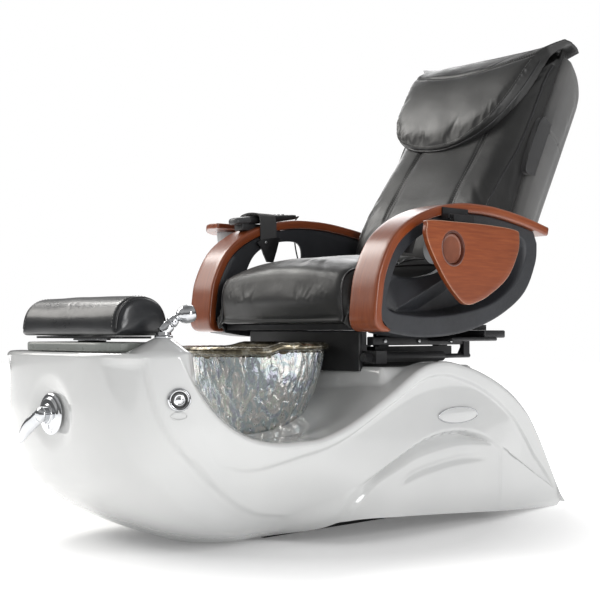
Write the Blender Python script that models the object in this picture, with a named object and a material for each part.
"""Pedicure spa chair: base with a foot bowl, sliding reclining massage seat, folding trays.

Metres, +Z up, floor at z = 0. The footrest end faces -Y and the sitter's left is +X.
"""
import math

import bmesh
import bpy
from mathutils import Matrix, Vector

GAP = 0.0003              # clearance between touching pieces

# Base shell
HULL_HALF_WIDTH = 0.36
HULL_NOSE_Y = -0.755
HULL_SHOULDER_Y = -0.42   # where the rounded nose meets the straight side
HULL_REAR_Y = 0.72
NOSE_POWER = 3.3          # squareness of the nose in plan
FOOT_HALF_WIDTH = 0.195   # floor contact of the boat-shaped front half
FOOT_NOSE_Y = -0.42
FOOT_SHOULDER_Y = -0.12
REAR_PANEL_START = 0.07
REAR_TAPER = 0.02
TAPER_START = 0.32
FLARE_HEIGHT = 0.45
FLARE_POWER = 4.0         # soft undercut of the nose
FLARE_POWER_REAR = 16.0   # tight turn under the rear panel
RIBBON_PROUD = 0.010
DECK_Z = 0.456            # level top of the nose
SEAT_PAD_Z = 0.4125       # level top of the hump, under the slide rails

# Foot bowl
BOWL_Y = -0.168
BOWL_RX = 0.213
BOWL_SQUASH = 0.81        # Y radius over X radius
BOWL_BOTTOM = 0.232
BOWL_RIM = 0.462
BOWL_SIDES = 32
DRAIN_Y = -0.125
JET_Y = -0.208

# Fittings on the nose
FAUCET_Z = 0.319
BUTTON = Vector((0.3275, -0.6456, 0.36))
PEAK = Vector((0.245, -0.625, 0.487))
SPRAY_DIR = Vector((0.25, 0.66, 0.71)).normalized()
FOOTREST_Y = -0.645

# Seat
SEAT_HALF = 0.255
PAN_Z = 0.505
CUSHION_Z = 0.52
ARM_IN = 0.27
ARM_OUT = 0.36
SHELL_IN = 0.2753
SHELL_OUT = 0.345
HINGE = Vector((0.0, 0.47, 0.60))
RECLINE = math.radians(27)
BACK_HALF = 0.26
TRAY_HINGE_X = 0.378
TRAY_HINGE_Z = 0.790
TRAY_MID_Y = 0.20

MATERIALS = {
    "acrylic_white": ((0.80, 0.80, 0.79), 0.12, 0.0),
    "deck_grey": ((0.55, 0.55, 0.54), 0.35, 0.0),
    "bowl_glass": ((0.52, 0.55, 0.55), 0.15, 0.2),
    "chrome": ((0.80, 0.80, 0.82), 0.07, 1.0),
    "brushed_steel": ((0.55, 0.55, 0.56), 0.35, 1.0),
    "leather_black": ((0.035, 0.034, 0.033), 0.42, 0.0),
    "plastic_charcoal": ((0.030, 0.032, 0.037), 0.55, 0.0),
    "plastic_black": ((0.012, 0.012, 0.013), 0.45, 0.0),
    "rubber_black": ((0.010, 0.010, 0.010), 0.70, 0.0),
    "wood_cherry": ((0.26, 0.065, 0.025), 0.22, 0.0),
    "cup_grey": ((0.35, 0.34, 0.33), 0.40, 0.0),
    "steel_black": ((0.015, 0.015, 0.016), 0.35, 0.6),
}


def clear_scene():
    for item in list(bpy.data.objects):
        bpy.data.objects.remove(item, do_unlink=True)


def material(name):
    """The Principled material of that name, made once."""
    found = bpy.data.materials.get(name)
    if found:
        return found
    color, roughness, metallic = MATERIALS[name]
    made = bpy.data.materials.new(name)
    made.use_nodes = True
    shader = made.node_tree.nodes["Principled BSDF"]
    shader.inputs["Base Color"].default_value = (*color, 1.0)
    shader.inputs["Roughness"].default_value = roughness
    shader.inputs["Metallic"].default_value = metallic
    return made


def link(name, data, mat, parent=None):
    """A named object in the scene, placed at the origin of its parent."""
    made = bpy.data.objects.new(name, data)
    bpy.context.collection.objects.link(made)
    data.materials.append(material(mat))
    if parent:
        made.parent = parent
    return made


def from_bmesh(name, bm, mat, parent=None, sharp=35):
    bmesh.ops.recalc_face_normals(bm, faces=bm.faces)
    mesh = bpy.data.meshes.new(name)
    bm.to_mesh(mesh)
    bm.free()
    mesh.shade_smooth()
    mesh.set_sharp_from_angle(angle=math.radians(sharp))
    return link(name, mesh, mat, parent)


def empty(name, location, tilt=0.0, parent=None):
    made = bpy.data.objects.new(name, None)
    bpy.context.collection.objects.link(made)
    made.location = location
    made.rotation_euler = (tilt, 0.0, 0.0)
    made.parent = parent
    return made


def loft(name, rings, mat, parent=None, sharp=35):
    """A closed solid through rings that have the same number of points."""
    bm = bmesh.new()
    rows = [[bm.verts.new(p) for p in ring] for ring in rings]
    count = len(rows[0])
    for low, high in zip(rows, rows[1:]):
        for i in range(count):
            j = (i + 1) % count
            bm.faces.new((low[i], low[j], high[j], high[i]))
    bm.faces.new(rows[0])
    bm.faces.new(rows[-1])
    return from_bmesh(name, bm, mat, parent, sharp)


def prism(name, outline, lo, hi, mat, parent=None, axis="X"):
    """An outline pushed along an axis: (Y, Z) along X, (X, Z) along Y, (X, Y) along Z."""
    place = {
        "X": lambda a, b, w: (w, a, b),
        "Y": lambda a, b, w: (a, w, b),
        "Z": lambda a, b, w: (a, b, w),
    }[axis]
    rings = [[place(a, b, w) for a, b in outline] for w in (lo, hi)]
    return loft(name, rings, mat, parent)


def box(name, lo, hi, mat, parent=None):
    outline = [(lo[0], lo[1]), (hi[0], lo[1]), (hi[0], hi[1]), (lo[0], hi[1])]
    return prism(name, outline, lo[2], hi[2], mat, parent, "Z")


def lathe(name, profile, origin, axis, mat, parent=None, sides=18, squash=1.0):
    """A closed (radius, height) profile turned about an axis. Radius 0 lies on the axis."""
    turn = Vector(axis).to_track_quat("Z", "Y").to_matrix().to_4x4()
    place = Matrix.Translation(origin) @ turn
    bm = bmesh.new()
    rows = []
    for radius, height in profile:
        if radius == 0:
            rows.append([bm.verts.new(place @ Vector((0, 0, height)))] * sides)
            continue
        ring = []
        for i in range(sides):
            angle = 2 * math.pi * i / sides
            spot = (radius * math.cos(angle), radius * math.sin(angle) * squash, height)
            ring.append(bm.verts.new(place @ Vector(spot)))
        rows.append(ring)
    for low, high in zip(rows, rows[1:] + rows[:1]):
        for i in range(sides):
            j = (i + 1) % sides
            corners = list(dict.fromkeys((low[i], low[j], high[j], high[i])))
            if len(corners) > 2:
                bm.faces.new(corners)
    return from_bmesh(name, bm, mat, parent)


def rod(name, start, end, radius, mat, parent=None, sides=16):
    start = Vector(start)
    span = Vector(end) - start
    profile = [(0, 0), (radius, 0), (radius, span.length), (0, span.length)]
    return lathe(name, profile, start, span, mat, parent, sides)


def sleeve(name, start, end, inner, outer, mat, parent=None, sides=20):
    start = Vector(start)
    span = Vector(end) - start
    length = span.length
    profile = [(inner, 0), (outer, 0), (outer, length), (inner, length)]
    return lathe(name, profile, start, span, mat, parent, sides)


def combine(target, tool, operation):
    """Boolean of two objects. The tool stays as a hidden guide."""
    step = target.modifiers.new(operation.lower(), "BOOLEAN")
    step.operation = operation
    step.object = tool
    tool.hide_render = True
    tool.display_type = "WIRE"
    return target


def fuse(target, *tools):
    for tool in tools:
        combine(target, tool, "UNION")
    return target


def cut(target, *tools):
    for tool in tools:
        combine(target, tool, "DIFFERENCE")
    return target


def bevel(target, width, segments=2, angle=40):
    step = target.modifiers.new("bevel", "BEVEL")
    step.width = width
    step.segments = segments
    step.limit_method = "ANGLE"
    step.angle_limit = math.radians(angle)
    return target


def smooth_path(points, steps=4, closed=False):
    """Catmull-Rom curve through the points, as tuples."""
    ends = list(points)
    if closed:
        knots = [ends[-1], *ends, ends[0], ends[1]]
    else:
        knots = [ends[0], *ends, ends[-1]]
    path = []
    for i in range(1, len(knots) - 2):
        a, b, c, d = (Vector(k) for k in knots[i - 1:i + 3])
        for k in range(steps):
            t = k / steps
            spot = 0.5 * (2 * b + (c - a) * t + (2 * a - 5 * b + 4 * c - d) * t ** 2
                          + (3 * b - a - 3 * c + d) * t ** 3)
            path.append(tuple(spot))
    if not closed:
        path.append(tuple(ends[-1]))
    return path


def interpolate(knots, at):
    """Smooth value at a position, through (position, value) knots in rising order."""
    if at <= knots[0][0]:
        return knots[0][1]
    for i, ((x0, v0), (x1, v1)) in enumerate(zip(knots, knots[1:])):
        if at > x1:
            continue
        before = knots[max(i - 1, 0)]
        after = knots[min(i + 2, len(knots) - 1)]
        m0 = (v1 - before[1]) / (x1 - before[0])
        m1 = (after[1] - v0) / (after[0] - x0)
        t = (at - x0) / (x1 - x0)
        h = x1 - x0
        return ((2 * t ** 3 - 3 * t ** 2 + 1) * v0 + (t ** 3 - 2 * t ** 2 + t) * h * m0
                + (3 * t ** 2 - 2 * t ** 3) * v1 + (t ** 3 - t ** 2) * h * m1)
    return knots[-1][1]


def ease(value, low, high):
    t = min(max((value - low) / (high - low), 0.0), 1.0)
    return t * t * (3 - 2 * t)


# The top edge of the hull and the lower edge of its proud ribbon, as (Y, Z), and the half
# width of its floor contact, as (Y, X).
TOP_EDGE = [(-0.60, DECK_Z), (-0.562, 0.399), (-0.526, 0.351), (-0.47, 0.299), (-0.42, 0.268),
            (-0.35, 0.245), (-0.277, 0.238), (-0.18, 0.257), (-0.078, 0.301), (0.03, 0.352),
            (0.14, 0.399), (0.26, 0.4125), (0.386, 0.393), (0.52, 0.313), (0.637, 0.153),
            (0.70, 0.045), (0.72, 0.02)]
FOOT_EDGE = [(-0.12, FOOT_HALF_WIDTH), (0.20, 0.245), (0.50, 0.295), (0.72, 0.325)]
RIBBON_EDGE = [(-0.73, 0.395), (-0.70, 0.325), (-0.66, 0.26), (-0.60, 0.195), (-0.52, 0.145),
               (-0.42, 0.107), (-0.33, 0.095), (-0.21, 0.114), (-0.1, 0.142), (0.0, 0.183),
               (0.11, 0.214), (0.22, 0.221), (0.335, 0.178), (0.46, 0.12), (0.60, 0.05)]


def hull_stations():
    """(rim point, foot point) pairs in plan for the +X side, nose first."""
    pairs = []
    nose_steps = 9
    for i in range(1, nose_steps + 1):
        angle = (i / nose_steps) * math.pi / 2
        power = 2 / NOSE_POWER
        rim_x = HULL_HALF_WIDTH * math.sin(angle) ** power
        rim_y = HULL_SHOULDER_Y - (HULL_SHOULDER_Y - HULL_NOSE_Y) * math.cos(angle) ** power
        if i == nose_steps:
            rim_y = HULL_SHOULDER_Y
        foot_x = FOOT_HALF_WIDTH * math.sin(angle) ** 0.8
        foot_y = FOOT_SHOULDER_Y - (FOOT_SHOULDER_Y - FOOT_NOSE_Y) * math.cos(angle)
        pairs.append(((rim_x, rim_y), (foot_x, foot_y)))
    side_steps = 10
    for i in range(1, side_steps + 1):
        t = i / side_steps
        rim_y = HULL_SHOULDER_Y + t * (REAR_PANEL_START - HULL_SHOULDER_Y)
        foot_y = FOOT_SHOULDER_Y + t * (REAR_PANEL_START - FOOT_SHOULDER_Y)
        pairs.append(((HULL_HALF_WIDTH, rim_y), (interpolate(FOOT_EDGE, foot_y), foot_y)))
    rear_steps = 14
    for i in range(1, rear_steps + 1):
        t = i / rear_steps
        y = REAR_PANEL_START + t * (HULL_REAR_Y - REAR_PANEL_START)
        rim_x = HULL_HALF_WIDTH - REAR_TAPER * ease(y, TAPER_START, HULL_REAR_Y)
        pairs.append(((rim_x, y), (interpolate(FOOT_EDGE, y), y)))
    return pairs


def hull_ring(rim, foot):
    """One closed cross section of the hull, from the foot up over the top and down again."""
    top = interpolate(TOP_EDGE, rim[1])
    edge = min(interpolate(RIBBON_EDGE, rim[1]), top * 0.6)
    fade = ease(rim[1], -0.74, -0.60) * (1 - ease(rim[1], 0.28, 0.42))
    levels = [(0.0, 0), (0.1, 0), (0.25, 0), (0.5, 0), (0.8, 0), (0.97, 0), (1.0, 1)]
    rows = [(edge * part, RIBBON_PROUD * proud * fade) for part, proud in levels]
    rows += [(edge + (top - 0.006 - edge) * part, RIBBON_PROUD * fade) for part in (0.4, 0.8)]
    side = []
    power = FLARE_POWER + (FLARE_POWER_REAR - FLARE_POWER) * ease(rim[1], -0.30, 0.15)
    for height, proud in rows + [(top - 0.006, 0.0), (top, -0.008)]:
        flare = 1 - (1 - min(height / FLARE_HEIGHT, 1)) ** power
        x = foot[0] + (rim[0] - foot[0]) * flare + min(proud, 0.0)
        x += (proud if proud > 0 else 0.0) - RIBBON_PROUD * fade
        y = foot[1] + (rim[1] - foot[1]) * flare
        side.append((x, y, height))
    across = [side[-1][0] * part for part in (0.75, 0.25, -0.25, -0.75)]
    deck = [(x, side[-1][1], top) for x in across]
    left = [(-x, y, z) for x, y, z in reversed(side)]
    return side + deck + left


def make_base_shell():
    rings = [hull_ring(rim, foot) for rim, foot in hull_stations()]
    shell = loft("base_shell", rings, "acrylic_white", sharp=50)
    pad = box("seat_pad_guide", (-0.20, 0.05, 0.34), (0.20, 0.36, SEAT_PAD_Z), "acrylic_white")
    peak_base = Vector((PEAK.x, PEAK.y, 0.440))
    peak_height = PEAK.z - peak_base.z
    peak_profile = [(0, 0), (0.078, 0), (0.050, 0.022), (0.030, 0.037), (0.021, peak_height),
                    (0, peak_height)]
    peak = lathe("peak_guide", peak_profile, peak_base, (0, 0, 1), "acrylic_white", sides=20)
    fuse(shell, pad, peak)
    hollow = [(-0.40, 0.075), (-0.53, 0.12), (-0.62, 0.20), (-0.66, 0.30), (-0.66, 0.425),
              (-0.60, 0.425), (-0.50, 0.25), (-0.40, 0.18), (-0.04, 0.18), (0.06, 0.33),
              (0.20, 0.38), (0.33, 0.38), (0.45, 0.31), (0.56, 0.17), (0.61, 0.075)]
    cavity = prism("hull_cavity", hollow, -0.180, 0.180, "acrylic_white")
    hatch = box("hull_hatch", (-0.13, -0.24, -0.02), (0.13, 0.63, 0.10), "acrylic_white")
    pocket_profile = [(0, BOWL_BOTTOM - GAP), *bowl_outside(0.004)[1:], (BOWL_RX, 0.6), (0, 0.6)]
    pocket = lathe("bowl_pocket", pocket_profile, (0, BOWL_Y, 0), (0, 0, 1), "acrylic_white",
                   sides=BOWL_SIDES, squash=BOWL_SQUASH)
    drain = rod("drain_hole", (0, DRAIN_Y, 0.1), (0, DRAIN_Y, 0.3), 0.026, "acrylic_white")
    jet = rod("jet_hole", (0, JET_Y, 0.1), (0, JET_Y, 0.3), 0.039, "acrylic_white")
    faucet = rod("faucet_hole", (0, -0.80, FAUCET_Z), (0, -0.60, FAUCET_Z), 0.023, "acrylic_white")
    post = rod("post_hole", (0, FOOTREST_Y, 0.345), (0, FOOTREST_Y, 0.50), 0.0222, "acrylic_white")
    inlet = box("inlet_hole", (-0.0203, 0.60, 0.0097), (0.0203, 0.75, 0.0403), "acrylic_white")
    cut(shell, cavity, hatch, pocket, drain, jet, faucet, post, inlet)
    button_out = hull_normal(BUTTON)
    bore = rod("button_hole", BUTTON - 0.012 * button_out, BUTTON + 0.03 * button_out, 0.0252,
               "acrylic_white")
    flat = rod("escutcheon_flat", (0, -0.7505, FAUCET_Z), (0, -0.80, FAUCET_Z), 0.050,
               "acrylic_white")
    cut(shell, bore, flat)
    return shell


def hull_normal(spot):
    """Outward direction in plan of the nose at a point on it."""
    reach = HULL_SHOULDER_Y - HULL_NOSE_Y
    slope_x = (spot.x / HULL_HALF_WIDTH) ** (NOSE_POWER - 1) / HULL_HALF_WIDTH
    slope_y = ((HULL_SHOULDER_Y - spot.y) / reach) ** (NOSE_POWER - 1) / reach
    return Vector((slope_x, -slope_y, 0)).normalized()


def bowl_outside(clear=0.0):
    """Outer bowl profile from the middle of its foot to the rim, as (radius, height)."""
    profile = [(0, 0), (0.098, 0), (0.114, 0.014), (0.128, 0.044), (0.1455, 0.075), (0.163, 0.106),
               (0.176, 0.14), (0.187, 0.172), (0.194, 0.208)]
    return [(r + (clear if r else 0), BOWL_BOTTOM + h) for r, h in profile]


def make_bowl():
    wall = 0.009
    outside = bowl_outside()
    inside = [(max(r - wall, 0), h + (wall if i < 3 else 0)) for i, (r, h) in enumerate(outside)]
    lip = [(BOWL_RX, BOWL_RIM - 0.018), (BOWL_RX, BOWL_RIM - 0.002), (0.202, BOWL_RIM)]
    profile = outside + lip + list(reversed(inside))
    bowl = lathe("glass_bowl", profile, (0, BOWL_Y, 0), (0, 0, 1), "bowl_glass", sides=BOWL_SIDES,
                 squash=BOWL_SQUASH)
    drain = rod("bowl_drain_hole", (0, DRAIN_Y, 0.2), (0, DRAIN_Y, 0.3), 0.0185, "chrome")
    shaft = rod("bowl_shaft_hole", (0, JET_Y, 0.2), (0, JET_Y, 0.3), 0.006, "chrome")
    cut(bowl, drain, shaft)


def make_drain_and_jet():
    floor = BOWL_BOTTOM + 0.009 + GAP
    body = [(0.014, 0.13), (0.018, 0.13), (0.018, floor), (0.028, floor), (0.028, floor + 0.0025),
            (0.014, floor + 0.0025)]
    lathe("drain_body", body, (0, DRAIN_Y, 0), (0, 0, 1), "chrome")
    lift = empty("drain_stopper_axis", (0, DRAIN_Y, 0.24))
    top = floor + 0.0028 - 0.24
    stopper = [(0, -0.05), (0.004, -0.05), (0.004, top), (0.022, top), (0.020, top + 0.004),
               (0, top + 0.006)]
    lathe("drain_stopper", stopper, (0, 0, 0), (0, 0, 1), "chrome", lift)
    motor = [(0, 0.12), (0.034, 0.12), (0.034, 0.225), (0.03, BOWL_BOTTOM - GAP),
             (0.004, BOWL_BOTTOM - GAP), (0.004, 0.2535), (0, 0.2535)]
    lathe("jet_motor", motor, (0, JET_Y, 0), (0, 0, 1), "plastic_black")
    spin = empty("jet_impeller_axis", (0, JET_Y, 0.2465))
    hub = sleeve("jet_impeller", (0, 0, -0.002), (0, 0, 0.005), 0.0043, 0.008, "plastic_black",
                 spin)
    blade_count = 5
    for i in range(blade_count):
        blade = box("impeller_blade_guide", (0.006, -0.001, -0.0015), (0.021, 0.001, 0.0045),
                    "plastic_black", spin)
        blade.rotation_euler = (0, 0, 2 * math.pi * i / blade_count)
        fuse(hub, blade)
    cover = [(0.0, 0.260), (0.0, 0.257), (0.020, 0.2565), (0.0245, 0.252), (0.0245, floor),
             (0.031, floor), (0.031, floor + 0.002), (0.028, 0.256), (0.022, 0.260)]
    cap = lathe("jet_cover", cover, (0, JET_Y, 0), (0, 0, 1), "chrome")
    for i in range(4):
        slot = box("cover_slot_guide", (0.007, -0.0015, 0.25), (0.019, 0.0015, 0.27), "chrome")
        slot.location = (0, JET_Y, 0)
        slot.rotation_euler = (0, 0, math.pi * (0.5 * i + 0.25))
        cut(cap, slot)


def make_faucet():
    face = -0.7505
    plate = [(0.012, 0), (0.0465, 0), (0.0465, 0.002), (0.038, 0.007), (0.020, 0.010),
             (0.012, 0.010)]
    lathe("faucet_escutcheon", plate, (0, face - GAP, FAUCET_Z), (0, -1, 0), "chrome", sides=24)
    steps = [(0, 0), (0.0112, 0), (0.0112, 0.004), (0.022, 0.004), (0.022, 0.127),
             (0.0112, 0.127), (0.0112, 0.145), (0, 0.145)]
    valve = lathe("faucet_valve", steps, (0, -0.752, FAUCET_Z), (0, 1, 0), "brushed_steel",
                  sides=20)
    outlet = rod("valve_outlet_guide", (0.014, -0.64, FAUCET_Z), (0.05, -0.64, FAUCET_Z), 0.010,
                 "brushed_steel", sides=14)
    fuse(valve, outlet)
    pivot = empty("faucet_lever_axis", (0, -0.7525, FAUCET_Z))
    lever = lathe("faucet_lever", [(0, 0), (0.0115, 0), (0.0115, 0.012), (0.016, 0.014),
                                   (0.016, 0.028), (0.012, 0.033), (0, 0.034)],
                  (0, 0, 0), (0, -1, 0), "chrome", pivot)
    rings = []
    for along, half, thick in ((0.0, 0.009, 0.006), (0.03, 0.008, 0.0055), (0.06, 0.010, 0.004),
                               (0.078, 0.006, 0.003)):
        ring = []
        for i in range(10):
            angle = 2 * math.pi * i / 10
            side = half * math.cos(angle)
            ring.append((-along * 0.72 + side * 0.69, -0.021 - along * 0.35 + thick * math.sin(angle),
                         -along * 0.69 - side * 0.72))
        rings.append(ring)
    fuse(lever, loft("lever_blade_guide", rings, "chrome", pivot))
    route = [(0.0503, -0.64, FAUCET_Z), (0.075, -0.64, FAUCET_Z + 0.002), (0.115, -0.64, 0.345),
             (0.145, -0.635, 0.385), (0.17, -0.63, 0.41)]
    tube("supply_pipe", smooth_path(route, 4), 0.007, "brushed_steel", 3)


def tube(name, points, radius, mat, resolution, parent=None):
    """A round tube with filled caps along the points."""
    data = bpy.data.curves.new(name, "CURVE")
    data.dimensions = "3D"
    data.bevel_depth = radius
    data.bevel_resolution = resolution
    data.use_fill_caps = True
    spline = data.splines.new("POLY")
    spline.points.add(len(points) - 1)
    for knot, spot in zip(spline.points, points):
        knot.co = (*spot, 1.0)
    return link(name, data, mat, parent)


def make_sprayer():
    seat = Vector((PEAK.x, PEAK.y, PEAK.z + GAP))
    collar = lathe("sprayer_holder", [(0, 0), (0.0195, 0), (0.0195, 0.004), (0.015, 0.013),
                                      (0, 0.013)], seat, (0, 0, 1), "chrome")
    foot = seat + Vector((0, -0.004, 0.0115))
    socket = rod("socket_guide", foot, foot + 0.024 * SPRAY_DIR, 0.0135, "chrome")
    bore_start = foot + 0.006 * SPRAY_DIR
    bore = rod("socket_bore_guide", bore_start, bore_start + 0.05 * SPRAY_DIR, 0.0104, "chrome")
    fuse(collar, socket)
    cut(collar, bore)
    slide = empty("sprayer_axis", bore_start)
    handle = [(0, 0.001), (0.010, 0.001), (0.010, 0.0205), (0.0125, 0.0225), (0.011, 0.034),
              (0.0075, 0.038), (0.0075, 0.044), (0, 0.044)]
    lathe("sprayer_handle", handle, (0, 0, 0), SPRAY_DIR, "chrome", slide)
    head_dir = (SPRAY_DIR + Vector((0.12, 0.25, -0.45))).normalized()
    head_start = SPRAY_DIR * 0.0443
    head = lathe("sprayer_head", [(0, 0.0), (0.0085, 0.0), (0.015, 0.006), (0.0195, 0.016),
                                  (0.0195, 0.028), (0.016, 0.036), (0.0125, 0.038), (0, 0.038)],
                 (0, 0, 0), SPRAY_DIR, "chrome", slide)
    head.location = head_start
    swing = SPRAY_DIR.rotation_difference(head_dir)
    head.rotation_mode = "QUATERNION"
    head.rotation_quaternion = swing
    trim = box("head_trim_guide", (-0.03, -0.03, -0.03), (0.03, 0.03, 0.0), "chrome", slide)
    trim.location = head_start
    trim.rotation_mode = "QUATERNION"
    trim.rotation_quaternion = SPRAY_DIR.to_track_quat("Z", "Y")
    cut(head, trim)


def make_button():
    out = hull_normal(BUTTON)
    deep = BUTTON - (0.012 - GAP) * out
    bezel = [(0.0, 0), (0.0242, 0), (0.0242, 0.0145), (0.021, 0.0175), (0.0145, 0.0165),
             (0.0135, 0.0145), (0.0135, 0.004), (0.0, 0.004)]
    lathe("button_bezel", bezel, deep, out, "chrome")
    pivot = empty("jet_button_axis", deep + 0.0078 * out)
    lathe("jet_button", [(0, 0), (0.0131, 0), (0.0131, 0.0075), (0.010, 0.0100), (0, 0.0107)],
          (0, 0, 0), out, "chrome", pivot)


def make_base_trim():
    box("base_plate", (-0.1295, -0.2395, 0.0), (0.1295, 0.6295, 0.008), "steel_black")
    side = HULL_HALF_WIDTH + GAP
    oval = []
    for i in range(24):
        angle = 2 * math.pi * i / 24
        oval.append((0.245 + 0.052 * math.cos(angle), 0.290 + 0.0165 * math.sin(angle)))
    prism("badge_plate", oval, side, side + 0.0022, "chrome")
    deck = rounded_rectangle((-0.185, -0.725), (0.185, -0.565), 0.05, 5)
    plate = prism("footrest_deck", deck, DECK_Z + 0.001, 0.4775, "deck_grey", axis="Z")
    bevel(plate, 0.004)
    hole = rod("deck_hole_guide", (0, FOOTREST_Y, 0.44), (0, FOOTREST_Y, 0.5), 0.0222, "deck_grey")
    cut(plate, hole)
    inlet = box("power_inlet", (-0.02, 0.632, 0.01), (0.02, 0.700, 0.040), "plastic_black")
    bevel(inlet, 0.002)


def rounded_rectangle(lo, hi, radius, steps):
    points = []
    corners = ((hi[0], hi[1], 0), (lo[0], hi[1], 1), (lo[0], lo[1], 2), (hi[0], lo[1], 3))
    for x, y, quarter in corners:
        cx = x - radius if quarter in (0, 3) else x + radius
        cy = y - radius if quarter in (0, 1) else y + radius
        for i in range(steps + 1):
            angle = math.pi / 2 * (quarter + i / steps)
            points.append((cx + radius * math.cos(angle), cy + radius * math.sin(angle)))
    return points


def make_footrest():
    top = 0.4775 + GAP
    profile = [(0.0165, 0.36), (0.0217, 0.36), (0.0217, top), (0.032, top), (0.032, top + 0.003),
               (0.0165, top + 0.003)]
    lathe("footrest_sleeve", profile, (0, FOOTREST_Y, 0), (0, 0, 1), "plastic_black")
    lift = empty("footrest_axis", (0, FOOTREST_Y, 0.48))
    lathe("footrest_post", [(0, -0.115), (0.016, -0.115), (0.016, 0.0014), (0.042, 0.0014),
                            (0.042, 0.0052), (0, 0.0052)], (0, 0, 0), (0, 0, 1), "chrome", lift)
    plate = rounded_rectangle((-0.17, -0.052), (0.17, 0.052), 0.02, 3)
    prism("footrest_plate", plate, 0.0055, 0.0105, "steel_black", lift, "Z")
    rings = []
    half, depth, height = 0.205, 0.068, 0.078
    for part in (-1.0, -0.97, -0.86, -0.5, 0.5, 0.86, 0.97, 1.0):
        swell = {1.0: 0.55, 0.97: 0.78, 0.86: 0.95}.get(abs(part), 1.0)
        ring = [(half * part, -depth * swell, 0.0108), (half * part, depth * swell, 0.0108)]
        for i in range(11):
            angle = math.pi * i / 10
            y = depth * swell * math.cos(angle)
            ring.append((half * part, y, 0.020 + height * swell * math.sin(angle) ** 0.85))
        rings.append(ring)
    loft("footrest_cushion", rings, "leather_black", lift, sharp=60)


def make_slide(seat):
    box("slide_mount_plate", (-0.195, 0.0205, SEAT_PAD_Z + GAP), (0.195, 0.352, 0.4198),
        "steel_black")
    for side, word in ((1, "left"), (-1, "right")):
        x = 0.155 * side
        low = box(f"lower_rail_{word}", (x - 0.022, 0.0215, 0.4201), (x + 0.022, 0.36, 0.4435),
                  "steel_black")
        groove = box("rail_groove_guide", (x - 0.0155, 0.0, 0.430), (x + 0.0155, 0.40, 0.46),
                     "steel_black")
        cut(low, groove)
        high = box(f"upper_rail_{word}", (x - 0.015, 0.11, 0.4303), (x + 0.015, 0.42, 0.462),
                   "brushed_steel", seat)
        for y in (0.13, 0.37):
            riser = box("riser_guide", (x - 0.012, y, 0.455), (x + 0.012, y + 0.035, PAN_Z - GAP),
                        "steel_black", seat)
            fuse(high, riser)
    actuator = sleeve("slide_actuator", (0.235, 0.04, 0.436), (0.235, 0.30, 0.436), 0.0075, 0.0135,
                      "plastic_black")
    gearbox = box("gearbox_guide", (0.196, 0.022, 0.4205), (0.256, 0.062, 0.452), "plastic_black")
    bolt = rod("hex_bolt_guide", (0.235, -0.004, 0.436), (0.235, 0.03, 0.436), 0.012, "plastic_black",
               sides=6)
    fuse(actuator, gearbox, bolt)
    shaft = rod("actuator_rod", (0.235, 0.15, 0.436), (0.235, 0.415, 0.436), 0.006, "chrome", seat)
    lug = box("rod_lug_guide", (0.2283, 0.385, 0.4345), (0.242, 0.41, PAN_Z - GAP), "steel_black",
              seat)
    fuse(shaft, lug)
    cover = box("front_cover", (-0.212, 0.0062, 0.400), (0.212, 0.0202, 0.5035), "plastic_black")
    bevel(cover, 0.003)


def make_seat(seat):
    pan = box("seat_pan", (-0.268, -0.03, PAN_Z), (0.268, 0.45, CUSHION_Z - GAP), "steel_black",
              seat)
    for side in (1, -1):
        inner, outer = sorted((0.2450 * side, 0.2515 * side))
        outline = [(0.39, 0.508), (0.45, 0.508), (0.50, 0.59), (0.495, 0.615), (0.475, 0.627),
                   (0.45, 0.62), (0.435, 0.60)]
        ear = prism("hinge_ear_guide", outline, inner, outer, "steel_black", seat)
        fuse(pan, ear)
    outline = smooth_path([(-0.078, 0.545), (-0.081, 0.60), (-0.067, 0.642), (-0.02, 0.662),
                           (0.10, 0.671), (0.25, 0.670)], 2)
    outline += [(0.362, 0.664), (0.372, 0.64), (0.372, CUSHION_Z), (-0.06, CUSHION_Z)]
    rings = []
    middle = Vector((0.15, 0.59))
    for part in (-1.0, -0.965, -0.86, -0.45, 0.45, 0.86, 0.965, 1.0):
        shrink = {1.0: 0.90, 0.965: 0.975}.get(abs(part), 1.0)
        ring = []
        for y, z in outline:
            spot = middle + (Vector((y, z)) - middle) * shrink
            ring.append((SEAT_HALF * part, spot.x, max(spot.y, CUSHION_Z)))
        rings.append(ring)
    loft("seat_cushion", rings, "leather_black", seat, sharp=50)


BAND_OUTSIDE = [(-0.042, 0.5000), (-0.075, 0.5045), (-0.091, 0.528), (-0.087, 0.585),
                (-0.074, 0.647), (-0.033, 0.721), (0.032, 0.773), (0.12, 0.810), (0.215, 0.829),
                (0.30, 0.833), (0.39, 0.829), (0.51, 0.813), (0.612, 0.792)]
BAND_THICK = 0.025


def band_sides():
    """Outer and inner lines of the bent armrest, toe first, as (Y, Z)."""
    outer = smooth_path(BAND_OUTSIDE, 2)
    inner = []
    for i, spot in enumerate(outer):
        ahead = Vector(outer[min(i + 1, len(outer) - 1)])
        behind = Vector(outer[max(i - 1, 0)])
        along = (ahead - behind).normalized()
        inner.append((spot[0] + along.y * BAND_THICK, spot[1] - along.x * BAND_THICK))
    inner[0] = (-0.036, 0.507)
    inner[1] = (-0.052, 0.515)
    inner[2] = (-0.062, 0.524)
    inner[3] = (-0.0655, 0.535)
    inner[4] = (-0.066, 0.548)
    return outer, inner


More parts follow.
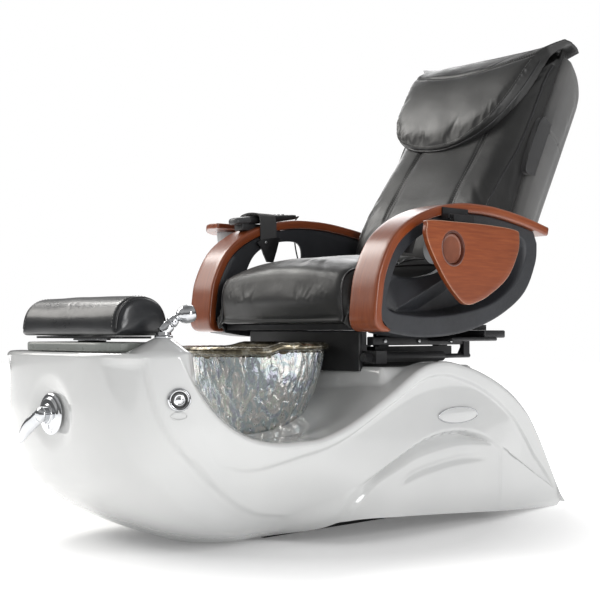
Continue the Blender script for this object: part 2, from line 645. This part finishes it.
def make_arm(seat, side, word):
    outer, inner = band_sides()
    lo, hi = sorted((ARM_IN * side, ARM_OUT * side))
    band = prism(f"arm_band_{word}", outer + list(reversed(inner)), lo, hi, "wood_cherry", seat)
    bevel(band, 0.004, 1)
    follow = []
    for y, z in inner[6:]:
        away = Vector((y - 0.25, z - 0.60)).normalized() * 0.0012
        follow.append((y - away.x, z - away.y))
    under = smooth_path([(-0.030, 0.498), (0.07, 0.487), (0.184, 0.490), (0.30, 0.508),
                         (0.42, 0.548), (0.52, 0.608), (0.571, 0.69), (0.578, 0.745)], 2)
    toe = [(-0.0505, 0.5275), (-0.034, 0.512)]
    outline = list(reversed(follow[:-2])) + toe + under
    lo, hi = sorted((SHELL_IN * side, SHELL_OUT * side))
    shell = prism(f"arm_shell_{word}", outline, lo, hi, "plastic_charcoal", seat)
    recess = smooth_path([(-0.034, 0.560), (-0.012, 0.646), (0.03, 0.700), (0.10, 0.745),
                          (0.20, 0.772), (0.34, 0.777), (0.46, 0.768), (0.522, 0.745),
                          (0.518, 0.690), (0.465, 0.622), (0.36, 0.570), (0.20, 0.543),
                          (0.06, 0.540)], 2, closed=True)
    lo, hi = sorted(((SHELL_IN + 0.006) * side, (SHELL_OUT + 0.02) * side))
    hollow = prism("arm_recess_guide", recess, lo, hi, "plastic_charcoal", seat)
    window = smooth_path([(0.035, 0.655), (0.08, 0.720), (0.20, 0.757), (0.33, 0.755),
                          (0.36, 0.70), (0.24, 0.645), (0.10, 0.625)], 2, closed=True)
    lo, hi = sorted(((SHELL_IN - 0.01) * side, (SHELL_IN + 0.02) * side))
    opening = prism("arm_window_guide", window, lo, hi, "plastic_charcoal", seat)
    cut(shell, hollow, opening)
    if side < 0:
        notch = box("strap_notch_guide", (-0.40, 0.093, 0.7605), (-0.20, 0.149, 0.82),
                    "plastic_charcoal", seat)
        cut(shell, notch)


TRAY_OUTLINE = [(-0.158, -0.030), (-0.150, -0.018), (-0.05, -0.016), (0.08, -0.016),
                (0.195, -0.022), (0.212, -0.040), (0.205, -0.085), (0.160, -0.150),
                (0.080, -0.198), (0.030, -0.216), (0.0, -0.2215), (-0.030, -0.212),
                (-0.085, -0.165), (-0.140, -0.095), (-0.160, -0.055)]
CUP_Y = -0.060
CUP_Z = -0.083


def make_tray(seat, side, word, deployed):
    hinge_x = TRAY_HINGE_X * side
    bracket = box(f"tray_bracket_{word}", (-0.0175, -0.05, -0.003), (-0.013, 0.05, 0.024),
                  "steel_black")
    pin = rod("hinge_pin_guide", (0, -0.049, 0), (0, 0.049, 0), 0.0035, "steel_black")
    lever_ends = []
    for y in (-0.05, 0.044):
        lever_ends.append(box("bracket_ear_guide", (-0.0155, y, -0.0045), (0.005, y + 0.006, 0.006),
                              "steel_black"))
    fixed = [bracket, pin, *lever_ends]
    for piece in fixed:
        piece.parent = seat
        piece.location = (hinge_x, TRAY_MID_Y, TRAY_HINGE_Z)
        if side < 0:
            mirror_x(piece.data)
    fuse(bracket, pin, *lever_ends)

    tilt = math.radians(-90) * side if deployed else 0.0
    pivot = empty(f"tray_{word}_axis", (hinge_x, TRAY_MID_Y, TRAY_HINGE_Z), parent=seat)
    pivot.rotation_euler = (0.0, tilt, 0.0)
    panel = prism(f"tray_panel_{word}", smooth_path(TRAY_OUTLINE, 2, closed=True), 0.0143, 0.0293,
                  "wood_cherry", pivot)
    bevel(panel, 0.003, 1)
    hole = rod("cup_hole_guide", (0, CUP_Y, CUP_Z), (0.05, CUP_Y, CUP_Z), 0.0435, "wood_cherry",
               pivot, 28)
    cup = lathe(f"tray_cup_{word}", [(0.0, -0.040), (0.036, -0.040), (0.040, 0.0145),
                                     (0.0432, 0.0145), (0.0432, 0.0268), (0.0392, 0.0268),
                                     (0.037, 0.012), (0.0, 0.012)],
                (0, CUP_Y, CUP_Z), (1, 0, 0), "cup_grey", pivot, 28)
    leaf = sleeve(f"tray_leaf_{word}", (0, -0.043, 0), (0, 0.043, 0), 0.0039, 0.0075, "steel_black",
                  pivot)
    arm = box("leaf_arm_guide", (0.0055, -0.040, -0.006), (0.0140, 0.040, 0.004), "steel_black",
              pivot)
    plate = box("leaf_plate_guide", (0.0110, -0.040, -0.034), (0.0140, 0.040, 0.0035),
                "steel_black", pivot)
    for piece in (panel, hole, cup, leaf, arm, plate):
        if side < 0:
            mirror_x(piece.data)
    cut(panel, hole)
    fuse(leaf, arm, plate)


def mirror_x(mesh):
    """Mirror a mesh in its own X, keeping its faces outward."""
    mesh.transform(Matrix.Scale(-1, 4, (1, 0, 0)))
    mesh.flip_normals()


# The cable of the remote, from the handset's tail down behind the far arm to its grommet.
CORD_ROUTE = [(-0.3150, 0.2740, 0.8444), (-0.3165, 0.2880, 0.8480), (-0.3400, 0.3060, 0.8490),
              (-0.3640, 0.3160, 0.8340), (-0.3715, 0.3220, 0.7980), (-0.3720, 0.3300, 0.7500),
              (-0.3710, 0.3500, 0.6950), (-0.3700, 0.3850, 0.6450), (-0.3690, 0.4300, 0.6200),
              (-0.3680, 0.4750, 0.6220), (-0.3665, 0.5050, 0.6340), (-0.3600, 0.5190, 0.6430),
              (-0.3533, 0.5210, 0.6440)]
CORD_RADIUS = 0.0022


def make_remote(seat):
    strap = box("remote_strap", (-0.3655, 0.096, 0.7640), (-0.2645, 0.146, 0.8460), "rubber_black",
                seat)
    along = [(0.08, 0.8115), (0.16, 0.8205), (0.16, 0.8435), (0.08, 0.8335)]
    slot = prism("strap_slot_guide", along, -0.3445, -0.2855, "rubber_black", seat)
    around_band = [(0.08, 0.7665), (0.16, 0.7925), (0.16, 0.8235), (0.12, 0.8135), (0.08, 0.7985)]
    passage = prism("strap_passage_guide", around_band, -0.3615, -0.2685, "rubber_black", seat)
    cut(strap, passage, slot)
    rings = []
    for y, half, tall in ((0.026, 0.016, 0.005), (0.034, 0.022, 0.0078), (0.075, 0.024, 0.0092),
                          (0.15, 0.024, 0.0092), (0.185, 0.016, 0.0078), (0.265, 0.013, 0.0075),
                          (0.273, 0.010, 0.005)):
        middle = 0.8145 + 0.12 * (y - 0.026)
        ring = []
        for i in range(12):
            angle = 2 * math.pi * (i + 0.5) / 12
            wide = math.copysign(abs(math.cos(angle)) ** 0.5, math.cos(angle))
            up = math.copysign(abs(math.sin(angle)) ** 0.5, math.sin(angle))
            ring.append((-0.315 + half * wide, y, middle + tall * up))
        rings.append(ring)
    loft("remote_handset", rings, "plastic_black", seat)
    lathe("cord_grommet", [(0, 0.0), (0.008, 0.0), (0.008, 0.003), (0.0045, 0.0077), (0, 0.0077)],
          (-0.3453, 0.521, 0.644), (-1, 0, 0), "rubber_black", seat)
    tube("remote_cord", smooth_path(CORD_ROUTE, 3), CORD_RADIUS, "rubber_black", 2, seat)


def make_recline_drive(seat):
    shaft = rod("recline_motor", (-0.2447, HINGE.y, HINGE.z), (0.2447, HINGE.y, HINGE.z), 0.010,
                "brushed_steel", seat)
    case = rod("gearmotor_case_guide", (0.06, HINGE.y, HINGE.z), (0.14, HINGE.y, HINGE.z), 0.030,
               "plastic_black", seat)
    fuse(shaft, case)


def side_profile(points, half, mat, name, parent, caps=((1.0, 0.93), (0.97, 0.985))):
    """A padded solid: a (thickness, height) outline pushed along X with rounded ends."""
    middle = sum((Vector(p) for p in points), Vector((0, 0))) / len(points)
    shrink = dict(caps)
    rings = []
    for part in (-1.0, -0.97, -0.85, 0.85, 0.97, 1.0):
        size = shrink.get(abs(part), 1.0)
        ring = [middle + (Vector(p) - middle) * size for p in points]
        rings.append([(half * part, p.x, p.y) for p in ring])
    return loft(name, rings, mat, parent, sharp=50)


# The head pillow in the back's frame: hem height by distance from the middle, then its front
# and rear surface by height.
PILLOW_HALF = 0.225
PILLOW_TOP = 0.838
PILLOW_HEM = [(0.0, 0.462), (0.06, 0.470), (0.12, 0.508), (0.16, 0.55), (0.195, 0.62),
              (0.213, 0.69), (0.225, 0.76)]
PILLOW_FRONT = [(0.46, -0.086), (0.52, -0.097), (0.60, -0.101), (0.70, -0.098), (0.76, -0.084),
                (0.80, -0.062), (0.838, -0.020)]
PILLOW_UNDER = [(0.46, -0.067), (0.565, -0.0585), (0.62, -0.0515), (0.73, -0.043),
                (0.785, -0.034), (0.81, -0.020), (0.838, 0.006)]


def make_back(back):
    """The backrest in its own frame: local Z runs up its slope, local Y towards its rear."""
    frame = box("back_frame", (-0.205, 0.0205, 0.02), (-0.185, 0.0405, 0.78), "steel_black", back)
    other = box("frame_bar_guide", (0.185, 0.0205, 0.02), (0.205, 0.0405, 0.78), "steel_black",
                back)
    fuse(frame, other)
    for low in (0.070, 0.760):
        cross = box("frame_cross_guide", (-0.20, 0.025, low), (0.20, 0.088, low + 0.015),
                    "steel_black", back)
        fuse(frame, cross)
    for x in (-0.05, 0.05):
        guide = rod("massage_rod_guide", (x, 0.079, 0.075), (x, 0.079, 0.77), 0.005, "chrome", back,
                    12)
        fuse(frame, guide)
    for side in (1, -1):
        start, end = sorted((0.18 * side, 0.22 * side))
        collar = rod("collar_guide", (start, 0, 0), (end, 0, 0), 0.022, "steel_black", back)
        strut = box("strut_guide", (start + 0.002, 0.0125, 0.005), (end - 0.002, 0.039, 0.05),
                    "steel_black", back)
        bore = rod("collar_bore_guide", (start - 0.01, 0, 0), (end + 0.01, 0, 0), 0.0103,
                   "steel_black", back, 20)
        fuse(frame, collar, strut)
        cut(frame, bore)

    front = smooth_path([(-0.078, 0.055), (-0.100, 0.13), (-0.103, 0.22), (-0.084, 0.34),
                         (-0.060, 0.47), (-0.046, 0.62), (-0.036, 0.74), (-0.016, 0.800)], 2)
    cushion = front + [(0.004, 0.806), (0.020, 0.795), (0.020, 0.060), (-0.04, 0.048)]
    side_profile(cushion, 0.243, "leather_black", "back_cushion", back)

    outside = [(0.0205, 0.055), (0.10, 0.058), (0.126, 0.09), (0.135, 0.15), (0.143, 0.42),
               (0.150, 0.60), (0.150, 0.71), (0.138, 0.77), (0.105, 0.812), (0.062, 0.832),
               (0.0205, 0.838)]
    shell = side_profile(outside, BACK_HALF, "leather_black", "back_shell", back,
                         ((1.0, 0.95), (0.97, 0.99)))
    hollow = [(0.0, 0.068), (0.096, 0.068), (0.118, 0.098), (0.127, 0.15), (0.135, 0.42),
              (0.142, 0.60), (0.142, 0.70), (0.130, 0.762), (0.100, 0.798), (0.060, 0.814),
              (0.0, 0.815)]
    inner = prism("shell_hollow_guide", hollow, -0.236, 0.236, "leather_black", back)
    cut(shell, inner)
    for side in (1, -1):
        start, end = sorted((0.175 * side, 0.225 * side))
        notch = box("shell_notch_guide", (start, -0.02, 0.0), (end, 0.0435, 0.09), "leather_black",
                    back)
        cut(shell, notch)

    rings = []
    for part in (-1.0, -0.97, -0.9, -0.78, -0.62, -0.42, -0.2, 0.0, 0.2, 0.42, 0.62, 0.78, 0.9, 0.97,
                 1.0):
        low = interpolate(PILLOW_HEM, abs(PILLOW_HALF * part))
        plump = 0.7 + 0.3 * ease(1 - abs(part), 0.0, 0.12)
        outer, inner = [], []
        for i in range(9):
            height = low + (PILLOW_TOP - low) * i / 8
            rest = interpolate(PILLOW_UNDER, height)
            full = interpolate(PILLOW_FRONT, height) - rest
            outer.append((rest + full * plump * (0.5 + 0.5 * ease(height - low, -0.01, 0.05)), height))
            inner.append((rest, height))
        over = [(0.05, 0.849), (0.062, 0.8415), (0.0205, 0.8405)]
        ring = outer + over + list(reversed(inner))
        rings.append([(PILLOW_HALF * part, t, height) for t, height in ring])
    loft("head_pillow", rings, "leather_black", back, sharp=50)

    rod("massage_screw", (0, 0.079, 0.0853), (0, 0.079, 0.7597), 0.006, "brushed_steel", back, 12)


def make_massage(back):
    slide = empty("massage_axis", (0, 0.079, 0.42), parent=back)
    carriage = box("massage_carriage", (-0.085, -0.009, -0.03), (0.085, 0.010, 0.03),
                   "plastic_black", slide)
    for x in (-0.07, 0.07):
        ear = box("carriage_ear_guide", (x - 0.005, -0.042, -0.012), (x + 0.005, -0.005, 0.012),
                  "plastic_black", slide)
        fuse(carriage, ear)
    for x, radius in ((-0.05, 0.0056), (0.0, 0.0066), (0.05, 0.0056)):
        hole = rod("carriage_hole_guide", (x, 0, -0.05), (x, 0, 0.05), radius, "plastic_black",
                   slide, 12)
        cut(carriage, hole)
    axle_hole = rod("axle_hole_guide", (-0.09, -0.034, 0), (0.09, -0.034, 0), 0.0043,
                    "plastic_black", slide, 12)
    cut(carriage, axle_hole)
    turn = empty("roller_axis", (0, -0.034, 0), parent=slide)
    rollers = rod("massage_rollers", (-0.078, 0, 0), (0.078, 0, 0), 0.004, "rubber_black", turn, 12)
    for x in (-0.055, 0.035):
        wheel = rod("wheel_guide", (x, 0, 0), (x + 0.02, 0, 0), 0.0205, "rubber_black", turn, 16)
        fuse(rollers, wheel)


def main():
    clear_scene()
    make_base_shell()
    make_bowl()
    make_drain_and_jet()
    make_faucet()
    make_sprayer()
    make_button()
    make_base_trim()
    make_footrest()
    seat = empty("seat_axis", (0, 0, 0))
    make_slide(seat)
    make_seat(seat)
    for side, word in ((1, "left"), (-1, "right")):
        make_arm(seat, side, word)
        make_tray(seat, side, word, deployed=side < 0)
    make_remote(seat)
    make_recline_drive(seat)
    back = empty("back_axis", HINGE, -RECLINE, seat)
    make_back(back)
    make_massage(back)
    bpy.context.view_layer.update()


main()
